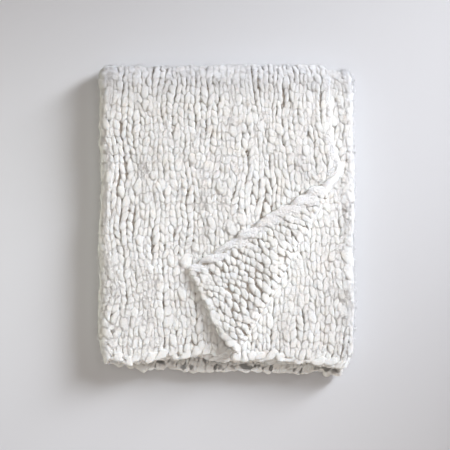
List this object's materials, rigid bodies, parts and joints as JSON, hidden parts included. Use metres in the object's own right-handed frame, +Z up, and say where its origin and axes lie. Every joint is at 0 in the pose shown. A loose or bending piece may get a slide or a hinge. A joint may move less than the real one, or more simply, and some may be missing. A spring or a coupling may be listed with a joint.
{
  "type": "folded chunky knit blanket",
  "caption": "Folded chunky knit blanket: stockinette in thick-and-thin off-white wool, folded in thirds and in half, front corner turned back to show the reverse",
  "frame": {"origin": "centre of the underside's bounding box, on the surface that the blanket lies on", "axes": "+Z up, -Y toward the front edge where the layers end, +X toward the side where the top layer ends"},
  "size_m": [0.5346, 0.6449, 0.0945],
  "materials": {
    "wool": "undyed off-white slub wool, matt and slightly fuzzy"
  },
  "bodies": {
    "root": {"blanket": "wool"}
  },
  "joints": []
}
